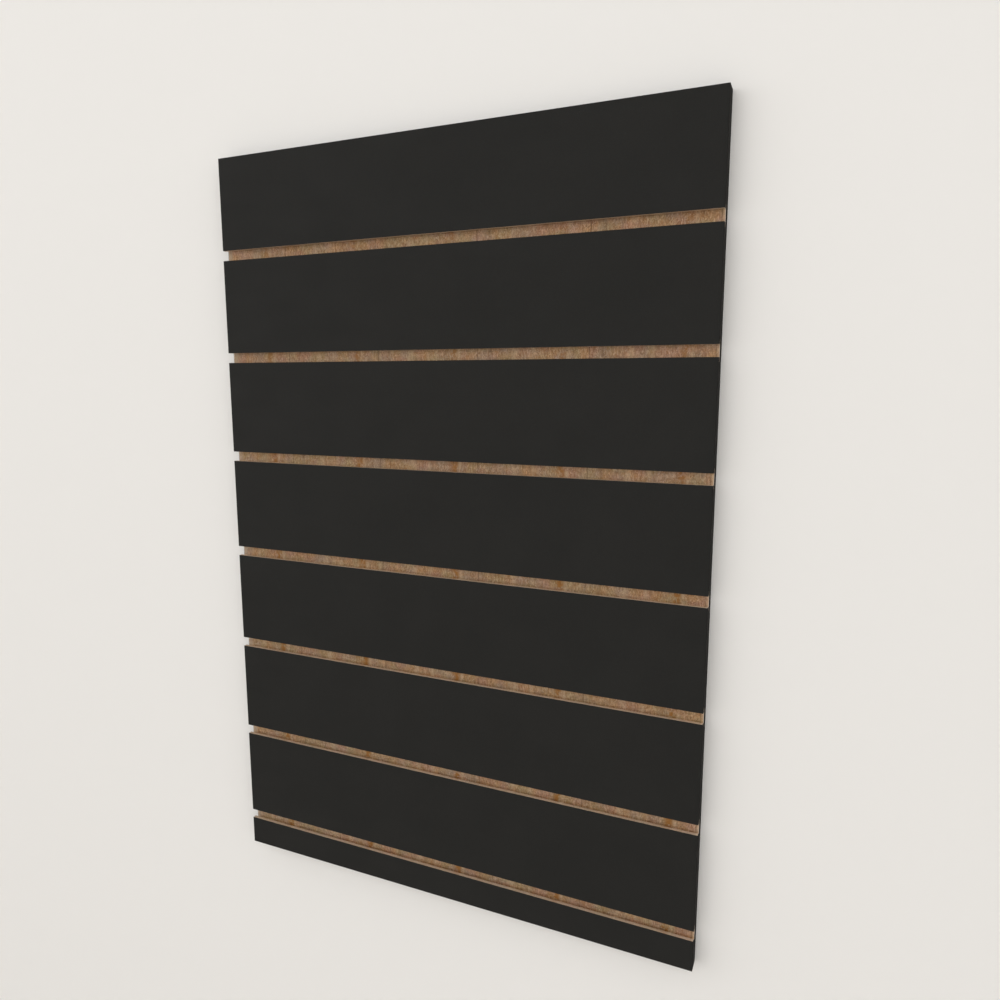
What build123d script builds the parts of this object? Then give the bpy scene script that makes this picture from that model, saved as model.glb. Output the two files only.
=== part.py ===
from build123d import *
import os

# Slatwall panel: a melamine-faced particleboard with T-slots routed right across its front.
# Millimetres. The origin is the centre of the back face, which lies on the wall.
# +X is to the right of someone facing the panel, +Y goes into the wall and +Z is up.

# Whole panel, over its films and edge tapes
WIDTH = 600.0
HEIGHT = 900.0
THICKNESS = 18.0

# Coverings
FILM = 0.3  # melamine on the front and the back
TAPE = 0.5  # edge tape on all four sides

# T-slots, open at both ends
SLOT_COUNT = 7
SLOT_PITCH = 124.0
TOP_SLAT = 108.0  # from the top edge down to the first mouth
MOUTH = 12.0
LIP = 4.6  # thickness of the lips that overhang the slot
SLOT_DEPTH = 9.1
SLOT_HEIGHT = 21.0  # behind the lips

# Keyhole hanger plates, let in flush with the back
HANGER_INSET = 60.0  # from a side edge to a plate's centre
PLATE_LENGTH = 60.0
PLATE_WIDTH = 20.0
PLATE_THICKNESS = 1.5
PLATE_PLAY = 0.2  # gap between a plate and its recess
KEYHOLE_DROP = 7.0  # from a plate's centre to the entry hole, and up to the narrow end
ENTRY_RADIUS = 5.0
NECK_RADIUS = 2.5
POCKET_RADIUS = 7.0  # room for the wall screw's head behind the plate
POCKET_DEPTH = 8.0  # from the back face

# Countersunk screws that hold the plates
SCREW_OFFSET = 23.0  # above and below a plate's centre
SCREW_RADIUS = 1.5
SCREW_LENGTH = 13.0
SCREW_TIP = 3.0
HEAD_RADIUS = 2.9
HEAD_SUNK = 0.1  # how far the head lies below the back face
HEAD_PLAY = 0.1  # gap between a head and its countersink
DRIVE_LENGTH = 3.0
DRIVE_WIDTH = 0.7
DRIVE_DEPTH = 0.9

TOP = HEIGHT / 2
FRONT = -THICKNESS
CORE_WIDTH = WIDTH - 2 * TAPE
CORE_HEIGHT = HEIGHT - 2 * TAPE
MOUTH_CENTRES = [TOP - TOP_SLAT - MOUTH / 2 - SLOT_PITCH * k for k in range(SLOT_COUNT)]
MOUTH_TOPS = [z + MOUTH / 2 for z in MOUTH_CENTRES]
MOUTH_BOTTOMS = [z - MOUTH / 2 for z in MOUTH_CENTRES]

# The plates sit behind the middle of the top slat and of the lowest full slat
HANGER_X = WIDTH / 2 - HANGER_INSET
UPPER_HANGER = (TOP + MOUTH_TOPS[0]) / 2
LOWER_HANGER = (MOUTH_BOTTOMS[-2] + MOUTH_TOPS[-1]) / 2
HANGERS = {
    "hanger_plate_top_left": (-HANGER_X, UPPER_HANGER),
    "hanger_plate_top_right": (HANGER_X, UPPER_HANGER),
    "hanger_plate_bottom_left": (-HANGER_X, LOWER_HANGER),
    "hanger_plate_bottom_right": (HANGER_X, LOWER_HANGER),
}
SCREW_SEATS = [
    (x, z + rise) for x, z in HANGERS.values() for rise in (SCREW_OFFSET, -SCREW_OFFSET)
]


def save(piece, name):
    """Labels a finished piece and writes it to its own file."""
    piece.part.label = name
    export_step(piece.part, f"parts/{name}.step")


def cut_t_slots():
    """Takes the T-slots out of a section that is being drawn on the YZ plane."""
    for z in MOUTH_CENTRES:
        with Locations((FRONT, z)):
            Rectangle(LIP, MOUTH, align=(Align.MIN, Align.CENTER), mode=Mode.SUBTRACT)
        with Locations((FRONT + LIP, z)):
            Rectangle(
                SLOT_DEPTH - LIP,
                SLOT_HEIGHT,
                align=(Align.MIN, Align.CENTER),
                mode=Mode.SUBTRACT,
            )


def recess_outlines(mode=Mode.ADD):
    """Draws the outline of the four plate recesses on the back face."""
    with Locations(*HANGERS.values()):
        SlotOverall(
            PLATE_LENGTH + 2 * PLATE_PLAY, PLATE_WIDTH + 2 * PLATE_PLAY, rotation=90, mode=mode
        )


os.makedirs("parts", exist_ok=True)

# Core board: its slots run the whole width, and the hangers' pockets are in its back
with BuildPart() as core_board:
    with BuildSketch(Plane.YZ):
        with Locations((FRONT / 2, 0)):
            Rectangle(THICKNESS - 2 * FILM, CORE_HEIGHT)
        cut_t_slots()
    extrude(amount=CORE_WIDTH / 2, both=True)
    with BuildSketch(Plane.XZ):
        recess_outlines()
    extrude(amount=PLATE_THICKNESS, mode=Mode.SUBTRACT)
    with BuildSketch(Plane.XZ):
        with Locations(*HANGERS.values()):
            SlotCenterToCenter(2 * KEYHOLE_DROP, 2 * POCKET_RADIUS, rotation=90)
    extrude(amount=POCKET_DEPTH, mode=Mode.SUBTRACT)
    with BuildSketch(Plane.XZ):
        with Locations(*SCREW_SEATS):
            Circle(SCREW_RADIUS)
    extrude(amount=SCREW_LENGTH, mode=Mode.SUBTRACT)
save(core_board, "core_board")

# Front laminate: one strip of film on the face of each slat
slat_tops = [CORE_HEIGHT / 2, *MOUTH_BOTTOMS]
slat_bottoms = [*MOUTH_TOPS, -CORE_HEIGHT / 2]
for number, (top, bottom) in enumerate(zip(slat_tops, slat_bottoms), start=1):
    with BuildPart() as front_laminate:
        with BuildSketch(Plane.XZ.offset(THICKNESS - FILM)):
            with Locations((0, (top + bottom) / 2)):
                Rectangle(CORE_WIDTH, top - bottom)
        extrude(amount=FILM)
    save(front_laminate, f"front_laminate_{number}")

# Back laminate: one sheet, open where the plates are let in
with BuildPart() as back_laminate:
    with BuildSketch(Plane.XZ):
        Rectangle(CORE_WIDTH, CORE_HEIGHT)
        recess_outlines(mode=Mode.SUBTRACT)
    extrude(amount=FILM)
save(back_laminate, "back_laminate")

# Side edge tapes: full height, cut by the slots from the front and whole behind them
for name, plane in (
    ("left_edge_band", Plane.YZ.offset(-WIDTH / 2)),
    ("right_edge_band", Plane.YZ.offset(CORE_WIDTH / 2)),
):
    with BuildPart() as side_edge_band:
        with BuildSketch(plane):
            with Locations((FRONT / 2, 0)):
                Rectangle(THICKNESS, HEIGHT)
            cut_t_slots()
        extrude(amount=TAPE)
    save(side_edge_band, name)

# Top and bottom edge tapes: between the side tapes
for name, plane in (
    ("top_edge_band", Plane.XY.offset(CORE_HEIGHT / 2)),
    ("bottom_edge_band", Plane.XY.offset(-HEIGHT / 2)),
):
    with BuildPart() as end_edge_band:
        with BuildSketch(plane):
            with Locations((0, FRONT / 2)):
                Rectangle(CORE_WIDTH, THICKNESS)
        extrude(amount=TAPE)
    save(end_edge_band, name)

# Hanger plates: a keyhole between two countersunk screw holes
for name, (x, z) in HANGERS.items():
    with BuildPart() as hanger_plate:
        with BuildSketch(Plane.XZ):
            with Locations((x, z)):
                SlotOverall(PLATE_LENGTH, PLATE_WIDTH, rotation=90)
                SlotCenterToCenter(
                    2 * KEYHOLE_DROP, 2 * NECK_RADIUS, rotation=90, mode=Mode.SUBTRACT
                )
            with Locations((x, z - KEYHOLE_DROP)):
                Circle(ENTRY_RADIUS, mode=Mode.SUBTRACT)
        extrude(amount=PLATE_THICKNESS)
        for rise in (SCREW_OFFSET, -SCREW_OFFSET):
            with Locations(Plane((x, 0, z + rise), x_dir=(1, 0, 0), z_dir=(0, 1, 0))):
                CounterSinkHole(
                    SCREW_RADIUS + HEAD_PLAY,
                    HEAD_RADIUS + HEAD_SUNK + HEAD_PLAY,
                    depth=PLATE_THICKNESS,
                    counter_sink_angle=90,
                )
    save(hanger_plate, name)

# One countersunk screw, drawn on its own axis with its head towards the wall
with BuildPart() as screw:
    with BuildSketch(Plane.XY):
        with BuildLine():
            Polyline(
                (0, -HEAD_SUNK),
                (HEAD_RADIUS, -HEAD_SUNK),
                (SCREW_RADIUS, -HEAD_SUNK - HEAD_RADIUS + SCREW_RADIUS),
                (SCREW_RADIUS, -SCREW_LENGTH + SCREW_TIP),
                (0, -SCREW_LENGTH),
                close=True,
            )
        make_face()
    revolve(axis=Axis.Y)
    with BuildSketch(Plane.XZ.offset(HEAD_SUNK)):
        Rectangle(DRIVE_LENGTH, DRIVE_WIDTH)
        Rectangle(DRIVE_WIDTH, DRIVE_LENGTH)
    extrude(amount=DRIVE_DEPTH, mode=Mode.SUBTRACT)

with BuildPart() as hanger_screws:
    with Locations(*[(x, 0, z) for x, z in SCREW_SEATS]):
        add(screw.part)
save(hanger_screws, "hanger_screws")
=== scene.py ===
import math

import bmesh
import bpy
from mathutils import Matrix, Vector, noise


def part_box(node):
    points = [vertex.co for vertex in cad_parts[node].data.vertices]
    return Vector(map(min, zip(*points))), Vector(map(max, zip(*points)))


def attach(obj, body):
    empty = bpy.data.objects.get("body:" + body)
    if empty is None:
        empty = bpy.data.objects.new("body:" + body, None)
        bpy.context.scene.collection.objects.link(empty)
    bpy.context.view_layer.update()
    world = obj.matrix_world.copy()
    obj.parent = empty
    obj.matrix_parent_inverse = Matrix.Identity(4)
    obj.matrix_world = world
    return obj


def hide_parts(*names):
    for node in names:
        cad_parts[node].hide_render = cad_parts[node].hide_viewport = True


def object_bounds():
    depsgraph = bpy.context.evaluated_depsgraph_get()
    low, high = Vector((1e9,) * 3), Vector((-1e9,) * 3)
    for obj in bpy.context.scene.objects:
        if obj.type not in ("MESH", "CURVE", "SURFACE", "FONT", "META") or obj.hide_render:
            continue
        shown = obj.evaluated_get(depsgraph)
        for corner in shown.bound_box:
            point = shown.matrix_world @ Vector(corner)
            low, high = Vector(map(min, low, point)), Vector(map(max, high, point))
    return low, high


# Slatwall panel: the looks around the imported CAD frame.
# Metres. The panel's back lies on the wall at Y = 0, its front faces -Y and +Z is up.

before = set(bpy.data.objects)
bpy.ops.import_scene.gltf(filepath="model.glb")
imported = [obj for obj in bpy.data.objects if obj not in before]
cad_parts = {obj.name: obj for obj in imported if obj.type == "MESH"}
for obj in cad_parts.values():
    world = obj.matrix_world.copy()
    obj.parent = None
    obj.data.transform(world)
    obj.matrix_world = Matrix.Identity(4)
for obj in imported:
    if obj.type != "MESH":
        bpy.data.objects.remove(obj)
cad_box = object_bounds()

MM = 0.001

# Section of the T-slots, as in the CAD
LIP = 4.6 * MM
SLOT_DEPTH = 9.1 * MM
SLOT_HEIGHT = 21.0 * MM

# Hangers, as in the CAD
PLATE_THICKNESS = 1.5 * MM
PLATE_PLAY = 0.2 * MM
KEYHOLE_DROP = 7.0 * MM
POCKET_RADIUS = 7.0 * MM
POCKET_DEPTH = 8.0 * MM
SCREW_OFFSET = 23.0 * MM
SCREW_RADIUS = 1.5 * MM
SCREW_LENGTH = 13.0 * MM

# Wear and softness of the real surfaces
RELIEF = 0.16 * MM  # deepest hollow that the cutter tore out of a slot's wall
RELIEF_PITCH = 5.0 * MM  # from one soft swell to the next
HOLLOW_PITCH = RELIEF_PITCH / 1.7  # from one torn hollow to the next
HOLLOW_SHIFT = Vector((31.0, 7.0, 3.0))  # keeps the hollows off the swells
FILM_ARRIS = 0.12 * MM  # rounding of the film where the cutter came through it
FILM_CHIP = 0.22 * MM  # deepest chip in that edge
FRAY_PITCH = 1.6 * MM  # of the fine fraying along it
BITE_PITCH = 7.0 * MM  # from one larger bite to the next
BACK_ARRIS = 0.05 * MM
TAPE_ARRIS = 0.25 * MM
PLATE_ARRIS = 0.15 * MM
SCREW_ARRIS = 0.06 * MM

# Mesh steps
ALONG = 3.0 * MM  # along a slot
ACROSS = 1.5 * MM  # round a slot's section
CHIP_STEP = 2.0 * MM  # along a film's edge
ROUND_STEPS = 40  # round a hanger's recess
SAME_PLACE = 0.01 * MM

PANEL_LOW, PANEL_HIGH = cad_box
FRONT = PANEL_LOW.y
CORE_LOW, CORE_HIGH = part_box("core_board")
SLAT_NODES = [n for n in sorted(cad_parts) if n.startswith("front_laminate_")]
SLATS = [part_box(n) for n in SLAT_NODES]
MOUTHS = [(above[0].z, below[1].z) for above, below in zip(SLATS, SLATS[1:])]
PLATE_NODES = [n for n in sorted(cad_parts) if n.startswith("hanger_plate_")]
PLATES = [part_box(n) for n in PLATE_NODES]


# ---------------------------------------------------------------- shader helpers


class Shader:
    """Adds nodes to a material or a world, and wires each one as it is added."""

    def __init__(self, owner):
        owner.use_nodes = True
        self.tree = owner.node_tree
        self.tree.nodes.clear()

    def add(self, kind, inputs=None, **settings):
        node = self.tree.nodes.new(kind)
        for name, value in settings.items():
            setattr(node, name, value)
        for name, value in (inputs or {}).items():
            self.put(node.inputs[name], value)
        return node

    def put(self, socket, value):
        if isinstance(value, bpy.types.NodeSocket):
            self.tree.links.new(value, socket)
        else:
            socket.default_value = value

    def math(self, operation, *values):
        node = self.add("ShaderNodeMath", operation=operation)
        for socket, value in zip(node.inputs, values):
            self.put(socket, value)
        return node.outputs[0]

    def span(self, value, low, high, to_low=0.0, to_high=1.0):
        """A smooth step from to_low to to_high as value goes from low to high."""
        inputs = {"Value": value, 1: low, 2: high, 3: to_low, 4: to_high}
        node = self.add("ShaderNodeMapRange", inputs, interpolation_type="SMOOTHSTEP")
        return node.outputs[0]

    def mix(self, factor, first, second, blend="MIX"):
        node = self.add("ShaderNodeMix", data_type="RGBA", blend_type=blend)
        self.put(node.inputs[0], factor)
        self.put(node.inputs[6], first)
        self.put(node.inputs[7], second)
        return node.outputs[2]

    def blend(self, factor, first, second):
        """Like mix, for plain numbers."""
        inputs = {0: factor, 2: first, 3: second}
        return self.add("ShaderNodeMix", inputs, data_type="FLOAT").outputs[0]

    def millimetres(self):
        """The point's place on the object, in millimetres."""
        place = self.add("ShaderNodeTexCoord").outputs["Object"]
        scale = (1 / MM,) * 3
        return self.add("ShaderNodeMapping", {"Vector": place, "Scale": scale}).outputs[0]

    def noise(self, place, size, detail=2.0, stretch=(1, 1, 1)):
        """Soft noise, about 0.3 to 0.7, whose patches are size millimetres across."""
        scale = tuple(1 / (size * s) for s in stretch)
        scaled = self.add("ShaderNodeMapping", {"Vector": place, "Scale": scale}).outputs[0]
        inputs = {"Vector": scaled, "Scale": 1.0, "Detail": detail}
        return self.add("ShaderNodeTexNoise", inputs).outputs["Fac"]

    def arris(self):
        """1 on the faces that were marked as a rounded edge, and 0 elsewhere."""
        return self.add("ShaderNodeAttribute", attribute_name="arris").outputs["Fac"]

    def bump(self, height, distance, strength=1.0):
        inputs = {"Height": height, "Distance": distance, "Strength": strength}
        return self.add("ShaderNodeBump", inputs).outputs[0]

    def surface(self, **inputs):
        """The finished surface; an input's name has _ for each space."""
        named = {name.replace("_", " "): value for name, value in inputs.items()}
        principled = self.add("ShaderNodeBsdfPrincipled", named)
        output = self.add("ShaderNodeOutputMaterial")
        self.tree.links.new(principled.outputs[0], output.inputs["Surface"])


def rgb(red, green, blue):
    return (red, green, blue, 1.0)


def grey(value):
    return rgb(value, value, value)


# ---------------------------------------------------------------- materials


# Raw chipboard. Lengths are in millimetres; what is called a share, tint or strength is a
# fraction of the colour.
# Each layer of flakes: direction in degrees, length and width
FLAKES = ((4.0, 4.6, 1.4), (142.0, 3.4, 1.05), (50.0, 3.2, 1.0), (97.0, 3.6, 1.05))
FLAKE_THICKNESS = 0.7
FLAKE_SHARE = 0.42  # part of each layer that the next one leaves bare
FLAKE_BEND = 0.8
BEND_PITCH = 3.5
GRAIN_WIDTH = 0.28
GRAIN_DEPTH = 0.9
GAP_WIDTH = 0.09  # of a flake's own size
WOOD_DARK = rgb(0.268, 0.163, 0.086)
WOOD_MIDDLE = rgb(0.376, 0.249, 0.144)
WOOD_LIGHT = rgb(0.524, 0.384, 0.249)
WOOD_GREY = rgb(0.370, 0.295, 0.224)
# Colour of the painted light on the very ends of the slots
END_LIGHT_TONE = rgb(0.750, 0.665, 0.560)
# Colour of the painted shade near the left end of the slots
END_SHADE_GREY = rgb(0.330, 0.270, 0.210)
RESIN = rgb(0.440, 0.216, 0.070)
BARK = rgb(0.325, 0.147, 0.039)
GAP_SHADE = rgb(0.120, 0.070, 0.036)

# Patches of the board that lean one way or the other in hue
ROSY_PATCH = 17.0
COOL_PATCH = 15.0
PATCH_SHIFT = (70.0, 20.0, 50.0)  # keeps the rosy patches off the cool ones
OLIVE_TINT = rgb(0.981, 1.010, 1.024)
ROSY_TINT = rgb(1.080, 0.972, 0.964)
YELLOW_TINT = rgb(1.009, 1.016, 0.915)
COOL_TINT = rgb(0.998, 0.985, 1.070)

# Marks across the whole board, which come round again at one pitch along it
PRESS_PITCH = 127.2
KNOT_AT = 13.5
KNOT_WIDTH = 7.5
PALE_BANDS = ((19.5, 0.95), (-19.0, 0.58), (-39.5, 0.58), (-42.5, 0.58))  # place and strength
PALE_WIDTH = 3.6
DARK_BAND_AT = 57.4
DARK_WIDTH = 3.4
DARK_STRENGTH = 0.40
LINE_AT = -84.8
LINE_WIDTH = 1.3
LINE_STRENGTH = 0.5

# They change in strength between two heights on the board: how much of it is left at each
FADE_HEIGHTS = (-160.0, 420.0)
PALE_FADE = (1.35, 0.75)
DARK_FADE = (0.55, 1.15)
KNOT_FADE = (1.12, 0.55)

# The finer, paler chips under each face of the board
FINE_LAYER = 3.6
FINE_SHARE = 0.62
FINE_CHIP = 0.6
FINE_DULL = grey(1.08)
FINE_BRIGHT = grey(1.88)

# Painted light in the bottom of each slot, behind the lower lip, that lightens the shade in that corner
SLOT_PITCH = (MOUTHS[0][0] - MOUTHS[1][0]) / MM
BEHIND_LIP = (FRONT + LIP) / MM
CORNER_LIGHT_LEVEL = sum(MOUTHS[0]) / 2 / MM - 9.5
CORNER_LIGHT_REACH = 5.2
SLOT_CORNER_LIGHT = rgb(1.38, 1.33, 1.24)

# The board's ends, where the slots are open to the room's light: painted light at the right end, painted
# shade at the left. Side, how far, how strongly it shows, its colour
RIGHT_END_LIGHT = (1, 2.6, 0.32, WOOD_LIGHT)
LEFT_END_SHADE = (-1, 5.8, 0.40, END_SHADE_GREY)
END_LIGHT_AND_SHADE_FADE = 0.4
END_LIGHT_WIDTH = 0.9  # painted light on the very end of each slot
END_LIGHT_STRENGTH = 0.75


def flake_layer(shader, place, angle, length, width):
    """Flakes that all point one way: each one's random values, the distance from its edge, its grain."""
    turned = shader.add(
        "ShaderNodeMapping", {"Vector": place, "Rotation": (0.0, math.radians(angle), 0.0)}
    ).outputs[0]
    scale = (1 / length, 1 / FLAKE_THICKNESS, 1 / width)
    scaled = shader.add("ShaderNodeMapping", {"Vector": turned, "Scale": scale}).outputs[0]
    inputs = {"Vector": scaled, "Scale": 1.0}
    cells = shader.add("ShaderNodeTexVoronoi", inputs, feature="F1")
    edges = shader.add("ShaderNodeTexVoronoi", inputs, feature="DISTANCE_TO_EDGE")
    values = shader.add("ShaderNodeSeparateColor", {"Color": cells.outputs["Color"]})
    grain = shader.noise(turned, GRAIN_WIDTH, 2.0, stretch=(9.0, 2.0, 1.0))
    return values.outputs, edges.outputs["Distance"], grain


def flakes(shader, place):
    """Layers of flakes on each other: a tone and a hue that change from flake to flake, and the gaps."""
    tone = shader.span(shader.noise(place, 3.0), 0.3, 0.7, 0.3, 0.7)
    hue = shader.noise(place, 3.0)
    gap = 0.0
    for angle, length, width in FLAKES:
        values, edge, grain = flake_layer(shader, place, angle, length, width)
        shown = shader.math("GREATER_THAN", values[1], FLAKE_SHARE)
        off_middle = shader.math("SUBTRACT", grain, 0.5)
        streaked = shader.math("MULTIPLY_ADD", off_middle, GRAIN_DEPTH, values[0])
        tone = shader.blend(shown, tone, streaked)
        hue = shader.blend(shown, hue, values[2])
        gap = shader.blend(shown, gap, shader.span(edge, 0.0, GAP_WIDTH, 1.0, 0.0))
    open_here = shader.span(shader.noise(place, 2.2), 0.46, 0.60, 0.25, 1.0)
    return tone, hue, shader.math("MULTIPLY", gap, open_here)


def wood_colour(shader, place, tone, hue):
    """The flakes' own colours, and the slow changes of colour from one part of the board to another."""
    ramp = shader.add("ShaderNodeValToRGB", {"Fac": tone})
    ramp.color_ramp.elements[0].color = WOOD_DARK
    ramp.color_ramp.elements[1].color = WOOD_LIGHT
    ramp.color_ramp.elements.new(0.5).color = WOOD_MIDDLE
    colour = ramp.outputs["Color"]
    colour = shader.mix(shader.span(hue, 0.62, 0.80, 0.0, 0.15), colour, RESIN)
    colour = shader.mix(shader.span(hue, 0.20, 0.38, 0.20, 0.0), colour, WOOD_GREY)
    dull = shader.span(shader.noise(place, 20.0, 1.0), 0.50, 0.66, 0.0, 0.18)
    colour = shader.mix(dull, colour, WOOD_GREY)
    warm = shader.span(shader.noise(place, 9.0, 1.0), 0.52, 0.68, 0.0, 0.14)
    colour = shader.mix(warm, colour, RESIN)
    shifted = shader.add("ShaderNodeVectorMath", {0: place, 1: PATCH_SHIFT}, operation="ADD").outputs[0]
    rosy = shader.span(shader.noise(shifted, ROSY_PATCH, 0.6), 0.34, 0.66)
    colour = shader.mix(1.0, colour, shader.mix(rosy, OLIVE_TINT, ROSY_TINT), "MULTIPLY")
    cool = shader.span(shader.noise(place, COOL_PATCH, 0.6), 0.34, 0.66)
    return shader.mix(1.0, colour, shader.mix(cool, YELLOW_TINT, COOL_TINT), "MULTIPLY")


def near_line(shader, along, at, reach, strength, pitch=PRESS_PITCH):
    """Full strength on a line that comes round again every pitch, and 0 beyond its reach."""
    away = shader.math("PINGPONG", shader.math("SUBTRACT", along, at), pitch / 2)
    return shader.span(away, 0.0, reach, strength, 0.0)


def press_marks(shader, colour, place, along):
    """Pale bands, a dark one and knots of bark, all broken up unevenly."""
    uneven = shader.noise(place, 3.5, 2.0)
    height = shader.add("ShaderNodeSeparateXYZ", {"Vector": place}).outputs[2]
    partly = shader.span(uneven, 0.40, 0.58, 0.2, 1.0)
    pale_part = shader.math("MULTIPLY", partly, shader.span(height, *FADE_HEIGHTS, *PALE_FADE))
    dark_part = shader.math("MULTIPLY", partly, shader.span(height, *FADE_HEIGHTS, *DARK_FADE))
    for at, strength in PALE_BANDS:
        pale = near_line(shader, along, at, PALE_WIDTH, strength)
        colour = shader.mix(shader.math("MULTIPLY", pale, pale_part), colour, WOOD_LIGHT)
    dark = near_line(shader, along, DARK_BAND_AT, DARK_WIDTH, DARK_STRENGTH)
    colour = shader.mix(shader.math("MULTIPLY", dark, dark_part), colour, GAP_SHADE)
    knot = near_line(shader, along, KNOT_AT, KNOT_WIDTH, 1.0)
    knot = shader.math("MULTIPLY", knot, shader.span(uneven, 0.40, 0.56, 0.12, 1.0))
    knot = shader.math("MULTIPLY", knot, shader.span(height, *FADE_HEIGHTS, *KNOT_FADE))
    return shader.mix(knot, colour, BARK)


def board_zones(shader, colour, place):
    """What depends on the place in the board: the fine layers, painted light in the slots' lower corners,
    painted light and shade at the ends.
    """
    along, depth, height = shader.add("ShaderNodeSeparateXYZ", {"Vector": place}).outputs
    middle = (PANEL_LOW.y + PANEL_HIGH.y) / 2 / MM
    from_middle = shader.math("ABSOLUTE", shader.math("SUBTRACT", depth, middle))
    half_board = (CORE_HIGH - CORE_LOW) / 2 / MM
    fine_from = half_board.y - FINE_LAYER
    fine = shader.span(from_middle, fine_from - 0.6, fine_from, 0.0, FINE_SHARE)
    colour = shader.mix(fine, colour, WOOD_GREY)
    fine_chips = shader.span(shader.noise(place, FINE_CHIP, 3.0), 0.35, 0.65)
    lighter = shader.mix(fine_chips, FINE_DULL, FINE_BRIGHT)
    colour = shader.mix(fine, colour, shader.mix(1.0, colour, lighter, "MULTIPLY"))

    # Painted light in each slot's lower corner, behind the lower lip, that lightens its shade
    lit_corner = near_line(shader, height, CORNER_LIGHT_LEVEL, CORNER_LIGHT_REACH, 1.0, SLOT_PITCH)
    lit_corner = shader.math("MULTIPLY", lit_corner, shader.span(depth, BEHIND_LIP - 0.4, BEHIND_LIP + 0.2))
    colour = shader.mix(lit_corner, colour, shader.mix(1.0, colour, SLOT_CORNER_LIGHT, "MULTIPLY"))

    # Painted light near the right end and painted shade near the left end of the slots
    for side, reach, strength, painted_end_colour in (RIGHT_END_LIGHT, LEFT_END_SHADE):
        from_end = shader.math("MULTIPLY_ADD", along, -side, half_board.x)
        painted_end = shader.span(from_end, reach - END_LIGHT_AND_SHADE_FADE, reach + END_LIGHT_AND_SHADE_FADE, strength, 0.0)
        colour = shader.mix(painted_end, colour, painted_end_colour)
        # Painted light on the very ends of the slots
        pale = shader.span(from_end, 0.0, END_LIGHT_WIDTH, END_LIGHT_STRENGTH, 0.0)
        colour = shader.mix(pale, colour, END_LIGHT_TONE)
    return colour


def particleboard():
    """Raw routed chipboard: flakes pressed together every way, with resin, bark and gaps between them."""
    material = bpy.data.materials.new("particleboard")
    shader = Shader(material)
    place = shader.millimetres()
    inputs = {"Vector": place, "Scale": 1 / BEND_PITCH, "Detail": 2.0}
    wobble = shader.add("ShaderNodeTexNoise", inputs).outputs["Color"]
    inputs = {0: wobble, 1: (FLAKE_BEND,) * 3, 2: place}
    bent = shader.add("ShaderNodeVectorMath", inputs, operation="MULTIPLY_ADD").outputs[0]
    bent_along = shader.add("ShaderNodeSeparateXYZ", {"Vector": bent}).outputs[0]

    tone, hue, gap = flakes(shader, bent)
    colour = wood_colour(shader, place, tone, hue)
    colour = press_marks(shader, colour, place, bent_along)
    speckle = shader.noise(place, 0.9, 3.0)
    colour = shader.mix(1.0, colour, shader.mix(speckle, grey(0.60), grey(1.40)), "MULTIPLY")
    colour = shader.mix(shader.math("MULTIPLY", gap, 0.60), colour, GAP_SHADE)
    thin_line = near_line(shader, bent_along, LINE_AT, LINE_WIDTH, LINE_STRENGTH)
    colour = shader.mix(thin_line, colour, GAP_SHADE)
    colour = board_zones(shader, colour, place)

    relief = shader.math("MULTIPLY_ADD", tone, 0.5, shader.math("MULTIPLY", speckle, 0.6))
    relief = shader.math("SUBTRACT", relief, shader.math("MULTIPLY", gap, 0.6))
    shader.surface(
        Base_Color=colour,
        Roughness=shader.span(speckle, 0.3, 0.7, 0.82, 0.95),
        Specular_IOR_Level=0.15,
        Normal=shader.bump(relief, 0.12 * MM, 0.7),
    )
    return material


FILM_BLACK = rgb(0.0198, 0.0195, 0.0181)
FILM_WORN = rgb(0.0212, 0.0208, 0.0193)
FILM_DUST = rgb(0.040, 0.039, 0.037)
FILM_BROKEN = rgb(0.075, 0.05, 0.034)  # the brown paper under the film, bare along its routed edges


def black_melamine():
    """Matt melamine film: a fine pearled texture, faintly uneven sheen, and brown at the routed edges."""
    material = bpy.data.materials.new("black_melamine")
    shader = Shader(material)
    place = shader.millimetres()
    pearl = shader.noise(place, 0.55, 2.0)
    cloud = shader.noise(place, 60.0, 3.0)
    rubbed = shader.noise(place, 18.0, 4.0, stretch=(5.0, 1.0, 1.0))

    colour = shader.mix(shader.span(cloud, 0.3, 0.7), FILM_BLACK, FILM_WORN)
    colour = shader.mix(1.0, colour, shader.mix(pearl, grey(0.66), grey(1.34)), "MULTIPLY")
    dusty = shader.span(shader.noise(place, 1.1, 4.0), 0.62, 0.74, 0.0, 0.25)
    colour = shader.mix(dusty, colour, FILM_DUST)
    broken = shader.span(shader.noise(place, 2.2, 3.0), 0.48, 0.62, 0.0, 0.7)
    colour = shader.mix(shader.math("MULTIPLY", shader.arris(), broken), colour, FILM_BROKEN)
    shader.surface(
        Base_Color=colour,
        Roughness=shader.span(rubbed, 0.3, 0.7, 0.44, 0.60),
        Specular_IOR_Level=0.04,
        Normal=shader.bump(pearl, 0.05 * MM, 0.8),
    )
    return material


TAPE_DARK = rgb(0.0130, 0.0124, 0.0113)
TAPE_LIGHT = rgb(0.0155, 0.0148, 0.0136)
TAPE_SCUFF = grey(0.045)


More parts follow.
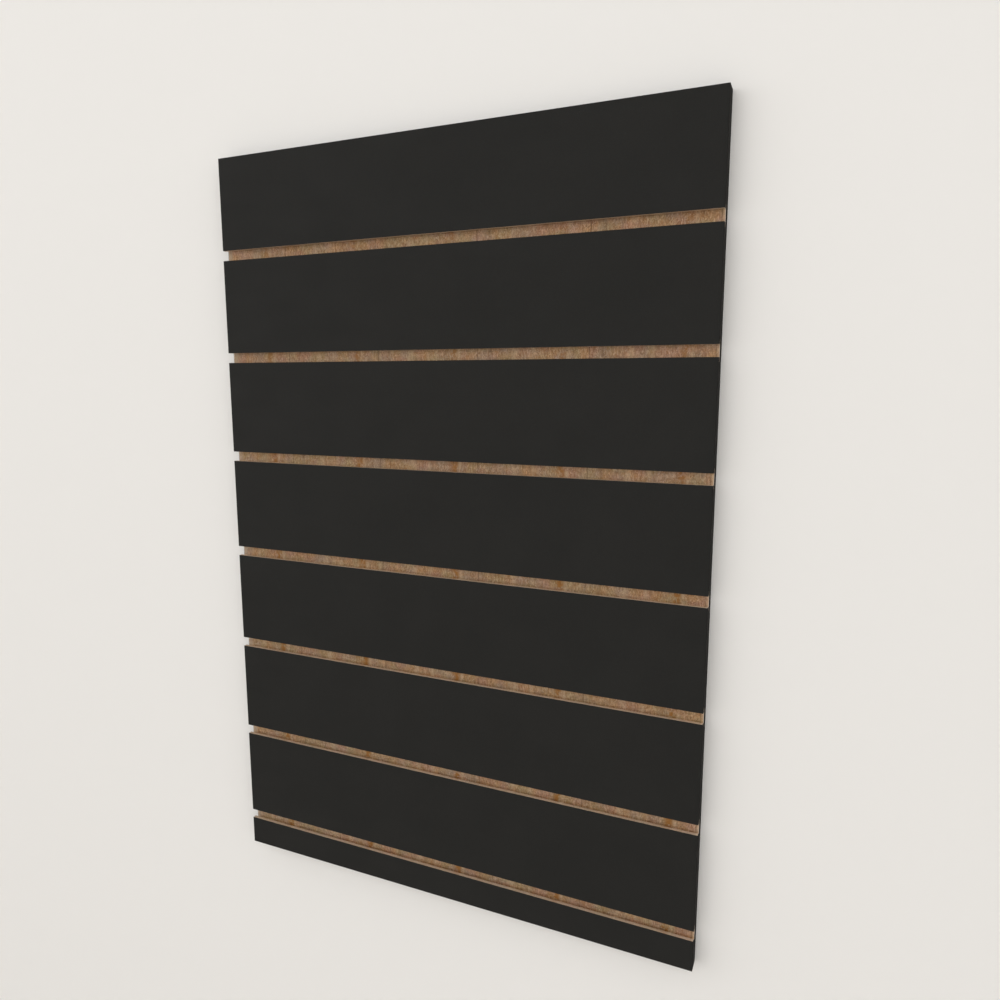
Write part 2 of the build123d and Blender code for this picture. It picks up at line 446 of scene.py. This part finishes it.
def black_edge_tape():
    """Pressed-on plastic edge tape: matt, drawn lengthwise, and scuffed grey along its arris."""
    material = bpy.data.materials.new("black_edge_tape")
    shader = Shader(material)
    place = shader.millimetres()
    drawn = shader.noise(place, 0.5, 3.0, stretch=(1.0, 1.0, 30.0))
    grain = shader.noise(place, 0.4, 2.0)

    colour = shader.mix(shader.span(drawn, 0.3, 0.7), TAPE_DARK, TAPE_LIGHT)
    scuffed = shader.span(shader.noise(place, 3.0, 3.0), 0.46, 0.64, 0.0, 0.5)
    colour = shader.mix(shader.math("MULTIPLY", shader.arris(), scuffed), colour, TAPE_SCUFF)
    shader.surface(
        Base_Color=colour,
        Roughness=shader.span(grain, 0.3, 0.7, 0.72, 0.84),
        Specular_IOR_Level=0.05,
        Normal=shader.bump(shader.math("MULTIPLY_ADD", drawn, 0.6, grain), 0.03 * MM, 0.5),
    )
    return material


ZINC_BLUE = rgb(0.28, 0.292, 0.312)
ZINC_STRAW = rgb(0.37, 0.363, 0.345)
ZINC_ROLLED = rgb(0.18, 0.184, 0.19)
ZINC_DULL = rgb(0.21, 0.202, 0.19)
ZINC_SPOT = rgb(0.10, 0.093, 0.086)
ZINC_ARRIS = rgb(0.50, 0.50, 0.49)


def zinc_plated_steel():
    """Stamped sheet steel with zinc: rolled along its length, mottled blue and straw, dulled in places."""
    material = bpy.data.materials.new("zinc_plated_steel")
    shader = Shader(material)
    place = shader.millimetres()
    rolled = shader.noise(place, 0.35, 4.0, stretch=(1.0, 1.0, 30.0))
    mottle = shader.span(shader.noise(place, 3.5, 3.0), 0.35, 0.65)
    dull = shader.span(shader.noise(place, 7.0, 5.0), 0.46, 0.62)
    spots = shader.span(shader.noise(place, 0.7, 2.0), 0.60, 0.68)

    colour = shader.mix(mottle, ZINC_BLUE, ZINC_STRAW)
    colour = shader.mix(shader.span(rolled, 0.35, 0.65, 0.0, 0.55), colour, ZINC_ROLLED)
    colour = shader.mix(shader.math("MULTIPLY", dull, 0.35), colour, ZINC_DULL)
    colour = shader.mix(shader.math("MULTIPLY", spots, 0.35), colour, ZINC_SPOT)
    colour = shader.mix(shader.math("MULTIPLY", shader.arris(), 0.6), colour, ZINC_ARRIS)
    shader.surface(
        Base_Color=colour,
        Metallic=1.0,
        Roughness=shader.span(dull, 0.0, 1.0, 0.22, 0.42),
        Normal=shader.bump(rolled, 0.04 * MM, 0.8),
    )
    return material


MATERIALS = {
    "particleboard": particleboard(),
    "black_melamine": black_melamine(),
    "black_edge_tape": black_edge_tape(),
    "zinc_plated_steel": zinc_plated_steel(),
}


# ---------------------------------------------------------------- mesh helpers


def made_object(name, bm, smooth_below=30.0):
    """Turns a bmesh into an object in the scene, shaded smooth except at its sharp edges."""
    bmesh.ops.recalc_face_normals(bm, faces=bm.faces)
    mesh = bpy.data.meshes.new(name)
    bm.to_mesh(mesh)
    bm.free()
    mesh.shade_smooth()
    mesh.set_sharp_from_angle(angle=math.radians(smooth_below))
    piece = bpy.data.objects.new(name, mesh)
    bpy.context.scene.collection.objects.link(piece)
    return piece


def keep_faces_flat(piece):
    """Leaves the shading of a rounded edge to the edge, so that the flat face beside it looks flat."""
    normals = piece.modifiers.new("normals", "WEIGHTED_NORMAL")
    normals.mode = "FACE_AREA"
    normals.weight = 100
    normals.keep_sharp = True


def mount(piece, slot, *nodes):
    """Puts a finished piece on the panel in the place of its CAD nodes, with its material."""
    piece.data.materials.clear()
    piece.data.materials.append(MATERIALS[slot])
    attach(piece, "root")
    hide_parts(*nodes)


def steps(low, high, step):
    """Evenly spaced numbers from low to high, at most step apart."""
    count = max(1, math.ceil(abs(high - low) / step - 1e-6))
    return [low + (high - low) * i / count for i in range(count + 1)]


def swept(sections):
    """A closed solid through sections that all have as many points, capped at both ends."""
    bm = bmesh.new()
    rings = [[bm.verts.new(p) for p in section] for section in sections]
    size = len(rings[0])
    for near, far in zip(rings, rings[1:]):
        for i in range(size):
            j = (i + 1) % size
            bm.faces.new((near[i], near[j], far[j], far[i]))
    bm.faces.new(rings[0])
    bm.faces.new(reversed(rings[-1]))
    return bm, rings


def mark_arris(bm, faces):
    """Marks the faces of a rounded edge, where the material shows wear."""
    layer = bm.faces.layers.float.get("arris") or bm.faces.layers.float.new("arris")
    for face in faces:
        if face.is_valid:
            face[layer] = 1.0


def softened(name, node, radius, chosen=lambda edge: True):
    """A copy of a CAD node with its chosen sharp edges rounded."""
    bm = bmesh.new()
    bm.from_mesh(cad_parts[node].data)
    bmesh.ops.remove_doubles(bm, verts=bm.verts, dist=0.001 * MM)
    bmesh.ops.dissolve_limit(bm, angle_limit=math.radians(0.5), verts=bm.verts, edges=bm.edges)
    sharp = [
        e for e in bm.edges
        if len(e.link_faces) == 2 and e.calc_face_angle() > math.radians(35) and chosen(e)
    ]
    rounded = bmesh.ops.bevel(
        bm, geom=sharp, offset=radius, segments=3, profile=0.5, affect="EDGES", clamp_overlap=True
    )
    mark_arris(bm, rounded["faces"])
    piece = made_object(name, bm)
    keep_faces_flat(piece)
    return piece


# ---------------------------------------------------------------- core board


def slot_section(mouth_top, mouth_bottom):
    """Points of one slot's section, round from its upper mouth edge to its lower one."""
    middle = (mouth_top + mouth_bottom) / 2
    behind = FRONT + LIP
    floor = FRONT + SLOT_DEPTH
    upper = middle + SLOT_HEIGHT / 2
    lower = middle - SLOT_HEIGHT / 2
    corners = [
        (CORE_LOW.y, mouth_top), (behind, mouth_top), (behind, upper), (floor, upper),
        (floor, lower), (behind, lower), (behind, mouth_bottom), (CORE_LOW.y, mouth_bottom),
    ]
    points = []
    for (y0, z0), (y1, z1) in zip(corners, corners[1:]):
        count = len(steps(0.0, abs(y1 - y0) + abs(z1 - z0), ACROSS)) - 1
        points += [(y0 + (y1 - y0) * i / count, z0 + (z1 - z0) * i / count) for i in range(count)]
    return points + [corners[-1]]


def torn_depth(place):
    """How deep the cutter tore the wall at a place: mostly a little, here and there more."""
    soft = 0.5 + 0.5 * noise.noise(place / RELIEF_PITCH)
    hollow = max(0.0, noise.noise(place / HOLLOW_PITCH + HOLLOW_SHIFT))
    return RELIEF * min(1.0, 0.45 * soft + 0.9 * hollow)


def stadium(bm, x, z, half_length, radius, depth):
    """A cutter with round ends, standing upright at (x, z), that goes in from behind the back face."""
    outline = []
    straight = half_length - radius
    for i in range(ROUND_STEPS):
        angle = 2 * math.pi * i / ROUND_STEPS
        rise = straight if i < ROUND_STEPS / 2 else -straight
        outline.append((x + radius * math.cos(angle), z + rise + radius * math.sin(angle)))
    near = [bm.verts.new((px, 1 * MM, pz)) for px, pz in outline]
    far = [bm.verts.new((px, -depth, pz)) for px, pz in outline]
    for i in range(ROUND_STEPS):
        j = (i + 1) % ROUND_STEPS
        bm.faces.new((near[i], near[j], far[j], far[i]))
    bm.faces.new(near)
    bm.faces.new(reversed(far))


def cut(piece, cutter_bm):
    """Takes the cutter out of a piece, for good."""
    cutter = made_object("cutter", cutter_bm)
    boolean = piece.modifiers.new("cut", "BOOLEAN")
    boolean.operation = "DIFFERENCE"
    boolean.solver = "EXACT"
    boolean.object = cutter
    graph = bpy.context.evaluated_depsgraph_get()
    result = bpy.data.meshes.new_from_object(piece.evaluated_get(graph))
    piece.modifiers.clear()
    piece.data = result
    bpy.data.objects.remove(cutter)


def core_board():
    """The board, with rough routed slots in its front and the hangers' recesses in its back."""
    outline = [(CORE_HIGH.y, CORE_HIGH.z), (CORE_LOW.y, CORE_HIGH.z)]
    rough = [False, False]
    for mouth in MOUTHS:
        section = slot_section(*mouth)
        outline += section
        rough += [False] + [True] * (len(section) - 2) + [False]
    outline += [(CORE_LOW.y, CORE_LOW.z), (CORE_HIGH.y, CORE_LOW.z)]
    rough += [False, False]
    stations = steps(CORE_LOW.x, CORE_HIGH.x, ALONG)
    bm, rings = swept([[(x, y, z) for y, z in outline] for x in stations])
    bmesh.ops.recalc_face_normals(bm, faces=bm.faces)
    bm.normal_update()
    for ring in rings[1:-1]:
        for vert, is_rough in zip(ring, rough):
            if is_rough:
                vert.co -= vert.normal * torn_depth(vert.co)
    core = made_object("particleboard_core", bm)

    middles = [(low + high) / 2 for low, high in PLATES]
    recesses, pockets, pilots = bmesh.new(), bmesh.new(), bmesh.new()
    for (low, high), middle in zip(PLATES, middles):
        half_length = (high.z - low.z) / 2 + PLATE_PLAY
        half_width = (high.x - low.x) / 2 + PLATE_PLAY
        stadium(recesses, middle.x, middle.z, half_length, half_width, PLATE_THICKNESS)
        stadium(pockets, middle.x, middle.z, KEYHOLE_DROP + POCKET_RADIUS, POCKET_RADIUS, POCKET_DEPTH)
        for rise in (SCREW_OFFSET, -SCREW_OFFSET):
            stadium(pilots, middle.x, middle.z + rise, SCREW_RADIUS, SCREW_RADIUS, SCREW_LENGTH)
    for cutter in (recesses, pockets, pilots):
        cut(core, cutter)
    mount(core, "particleboard", "core_board")


# ---------------------------------------------------------------- films


def chip(x, z):
    """How far a routed film edge is chipped back at x: hardly, with small bites here and there."""
    fray = 0.5 + 0.5 * noise.noise(Vector((x / FRAY_PITCH, z / MM, 5.0)))
    bite = max(0.0, noise.noise(Vector((x / BITE_PITCH, z / MM, 9.0))) - 0.35) / 0.4
    return FILM_CHIP * min(1.0, 0.12 * fray + bite)


def film_section(x, low, high, cut_top, cut_bottom):
    """Section of a slat's film at x: square at a tape, rounded and chipped where it was routed."""
    top = high.z - (chip(x, high.z) if cut_top else 0.0)
    bottom = low.z + (chip(x, low.z) if cut_bottom else 0.0)
    points = [(x, high.y, bottom), (x, high.y, top)]
    for edge, sign, is_cut in ((top, -1, cut_top), (bottom, 1, cut_bottom)):
        corner = []
        for angle in (0, 30, 60, 90):
            turn = math.radians(angle)
            inset = FILM_ARRIS if is_cut else 0.0
            corner.append((
                x,
                low.y + inset * (1 - math.sin(turn)),
                edge + sign * inset * (1 - math.cos(turn)),
            ))
        points += corner if sign < 0 else corner[::-1]
    return points


def film_object(name, node, number):
    """One slat's film."""
    low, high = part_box(node)
    cut_top = number > 1
    cut_bottom = number < len(SLATS)
    sections = [
        film_section(x, low, high, cut_top, cut_bottom) for x in steps(low.x, high.x, CHIP_STEP)
    ]
    bm, _ = swept(sections)
    bmesh.ops.dissolve_degenerate(bm, dist=0.0001 * MM, edges=bm.edges)
    bmesh.ops.recalc_face_normals(bm, faces=bm.faces)
    mark_arris(bm, [f for f in bm.faces if 0.15 < abs(f.normal.z) < 0.99])
    film = made_object(name, bm, 50.0)
    keep_faces_flat(film)
    mount(film, "black_melamine", node)


def on_outer_face(axis, limit):
    """Picks the edges that lie on one outer face of the panel."""
    return lambda edge: all(abs(v.co[axis] - limit) < SAME_PLACE for v in edge.verts)


def back_film():
    """The film on the back, with its outer edges a little rounded."""
    film = softened("back_film", "back_laminate", BACK_ARRIS, on_outer_face(1, PANEL_HIGH.y))
    mount(film, "black_melamine", "back_laminate")


# ---------------------------------------------------------------- tapes and hangers


def edge_tapes():
    """The tapes on the four sides, rounded where they turn onto the front and the back."""
    for side, axis, limit in (
        ("left", 0, PANEL_LOW.x), ("right", 0, PANEL_HIGH.x),
        ("top", 2, PANEL_HIGH.z), ("bottom", 2, PANEL_LOW.z),
    ):
        node = f"{side}_edge_band"
        tape = softened(f"{side}_edge_tape", node, TAPE_ARRIS, on_outer_face(axis, limit))
        mount(tape, "black_edge_tape", node)


def hangers():
    """The keyhole plates and their screws."""
    for node in PLATE_NODES:
        plate = softened(node.replace("hanger_plate", "keyhole_plate"), node, PLATE_ARRIS)
        mount(plate, "zinc_plated_steel", node)
    screws = softened("countersunk_screws", "hanger_screws", SCREW_ARRIS)
    mount(screws, "zinc_plated_steel", "hanger_screws")


# ---------------------------------------------------------------- room, light and camera

WALL_SIZE = 24.0
WALL_FORWARD = 0.05 * MM  # the wall's face, just in front of the panel's back face
WALL_UNDER = 8.0 * MM  # how far the wall runs on under the panel's edges
FLOOR_BELOW = 1.9  # from the panel's middle down to the floor
PAINT = rgb(0.825, 0.807, 0.780)
FLOOR_BOUNCE = rgb(0.58, 0.55, 0.51)  # what the floor gives back to the room
FLOOR_LOOK = rgb(0.760, 0.732, 0.690)
FLOOR_FADE = (2.0, 9.0)  # it turns into the backdrop between these distances
BACKDROP = rgb(0.823, 0.799, 0.761)
LIGHT_LEVEL = 2.44
LIGHT_LEAN = (-0.21, 0.0, -1.06)  # brighter from the left, and low down rather than overhead
LIGHT_ACROSS = 0.74  # how much dimmer it is straight in front of the wall than along it


def plain_sheet(name, corners, hole=None):
    """A flat sheet of the room, with or without a hole in it, and the shader of its own material."""
    bm = bmesh.new()
    outer = [bm.verts.new(c) for c in corners]
    if hole:
        inner = [bm.verts.new(c) for c in hole]
        for i in range(4):
            j = (i + 1) % 4
            bm.faces.new((outer[i], outer[j], inner[j], inner[i]))
    else:
        bm.faces.new(outer)
    mesh = bpy.data.meshes.new(name)
    bm.to_mesh(mesh)
    bm.free()
    sheet = bpy.data.objects.new(name, mesh)
    bpy.context.scene.collection.objects.link(sheet)
    material = bpy.data.materials.new(name)
    mesh.materials.append(material)
    return Shader(material)


def upright(left, right, bottom, top):
    """Corners of a rectangle in the wall's plane."""
    y = -WALL_FORWARD
    return [(left, y, bottom), (right, y, bottom), (right, y, top), (left, y, top)]


def wall():
    """A painted wall that shows from the room only, and is open behind the panel.

    So the panel's back can be looked at, and light reaches into its hangers.
    """
    half = WALL_SIZE / 2
    outer = upright(-half, half, -FLOOR_BELOW, half)
    hole = upright(
        PANEL_LOW.x + WALL_UNDER, PANEL_HIGH.x - WALL_UNDER,
        PANEL_LOW.z + WALL_UNDER, PANEL_HIGH.z - WALL_UNDER,
    )
    shader = plain_sheet("wall", outer, hole)
    paint = shader.add("ShaderNodeBsdfDiffuse", {"Color": PAINT}).outputs[0]
    clear = shader.add("ShaderNodeBsdfTransparent").outputs[0]
    behind = shader.add("ShaderNodeNewGeometry").outputs["Backfacing"]
    either = shader.add("ShaderNodeMixShader", {0: behind, 1: paint, 2: clear}).outputs[0]
    shader.add("ShaderNodeOutputMaterial", {"Surface": either})


def floor():
    """A plain pale floor that runs on behind the wall and fades into the backdrop."""
    half = WALL_SIZE / 2
    z = -FLOOR_BELOW
    corners = [(-half, -half, z), (half, -half, z), (half, half, z), (-half, half, z)]
    shader = plain_sheet("floor", corners)
    bounce = shader.add("ShaderNodeBsdfDiffuse", {"Color": FLOOR_BOUNCE}).outputs[0]
    place = shader.add("ShaderNodeTexCoord").outputs["Object"]
    away = shader.add("ShaderNodeVectorMath", {0: place}, operation="LENGTH").outputs["Value"]
    shade = shader.mix(shader.span(away, *FLOOR_FADE), FLOOR_LOOK, BACKDROP)
    look = shader.add("ShaderNodeEmission", {"Color": shade}).outputs[0]
    seen = shader.add("ShaderNodeLightPath").outputs["Is Camera Ray"]
    either = shader.add("ShaderNodeMixShader", {0: seen, 1: bounce, 2: look}).outputs[0]
    shader.add("ShaderNodeOutputMaterial", {"Surface": either})


def light():
    """Soft studio light from all round: a dome that is a little brighter low down and to the left."""
    world = bpy.data.worlds.new("studio")
    bpy.context.scene.world = world
    shader = Shader(world)
    direction = shader.add("ShaderNodeTexCoord").outputs["Generated"]
    lean = shader.add("ShaderNodeVectorMath", {0: direction, 1: LIGHT_LEAN}, operation="DOT_PRODUCT")
    level = shader.math("ADD", lean.outputs["Value"], LIGHT_LEVEL)
    outwards = shader.add("ShaderNodeSeparateXYZ", {"Vector": direction}).outputs[1]
    across = shader.math("ABSOLUTE", outwards)
    strength = shader.math("SUBTRACT", level, shader.math("MULTIPLY", across, LIGHT_ACROSS))
    lit = shader.add("ShaderNodeBackground", {"Strength": strength}).outputs[0]
    seen = shader.add("ShaderNodeBackground", {"Color": BACKDROP}).outputs[0]
    from_camera = shader.add("ShaderNodeLightPath").outputs["Is Camera Ray"]
    both = shader.add("ShaderNodeMixShader", {0: from_camera, 1: lit, 2: seen}).outputs[0]
    shader.add("ShaderNodeOutputWorld", {"Surface": both})


CAMERA_PLACE = (0.4018, -0.7769, 0.18252)
CAMERA_TURN = 23.429  # degrees to the left of straight at the wall
CAMERA_DROP = 8.832  # degrees below level
LENS = 27.38
SENSOR = 36.0


def camera():
    """A camera close to the panel, to the right of it and a little above its middle."""
    data = bpy.data.cameras.new("camera")
    data.lens = LENS
    data.sensor_width = SENSOR
    data.clip_start = 0.01
    data.clip_end = 100.0
    view = bpy.data.objects.new("camera", data)
    view.location = CAMERA_PLACE
    view.rotation_euler = (math.radians(90 - CAMERA_DROP), 0.0, math.radians(CAMERA_TURN))
    bpy.context.scene.collection.objects.link(view)
    bpy.context.scene.camera = view


core_board()
for number, node in enumerate(SLAT_NODES, start=1):
    film_object(f"slat_film_{number}", node, number)
back_film()
edge_tapes()
hangers()
wall()
floor()
light()
camera()
bpy.context.scene.view_settings.view_transform = "Standard"
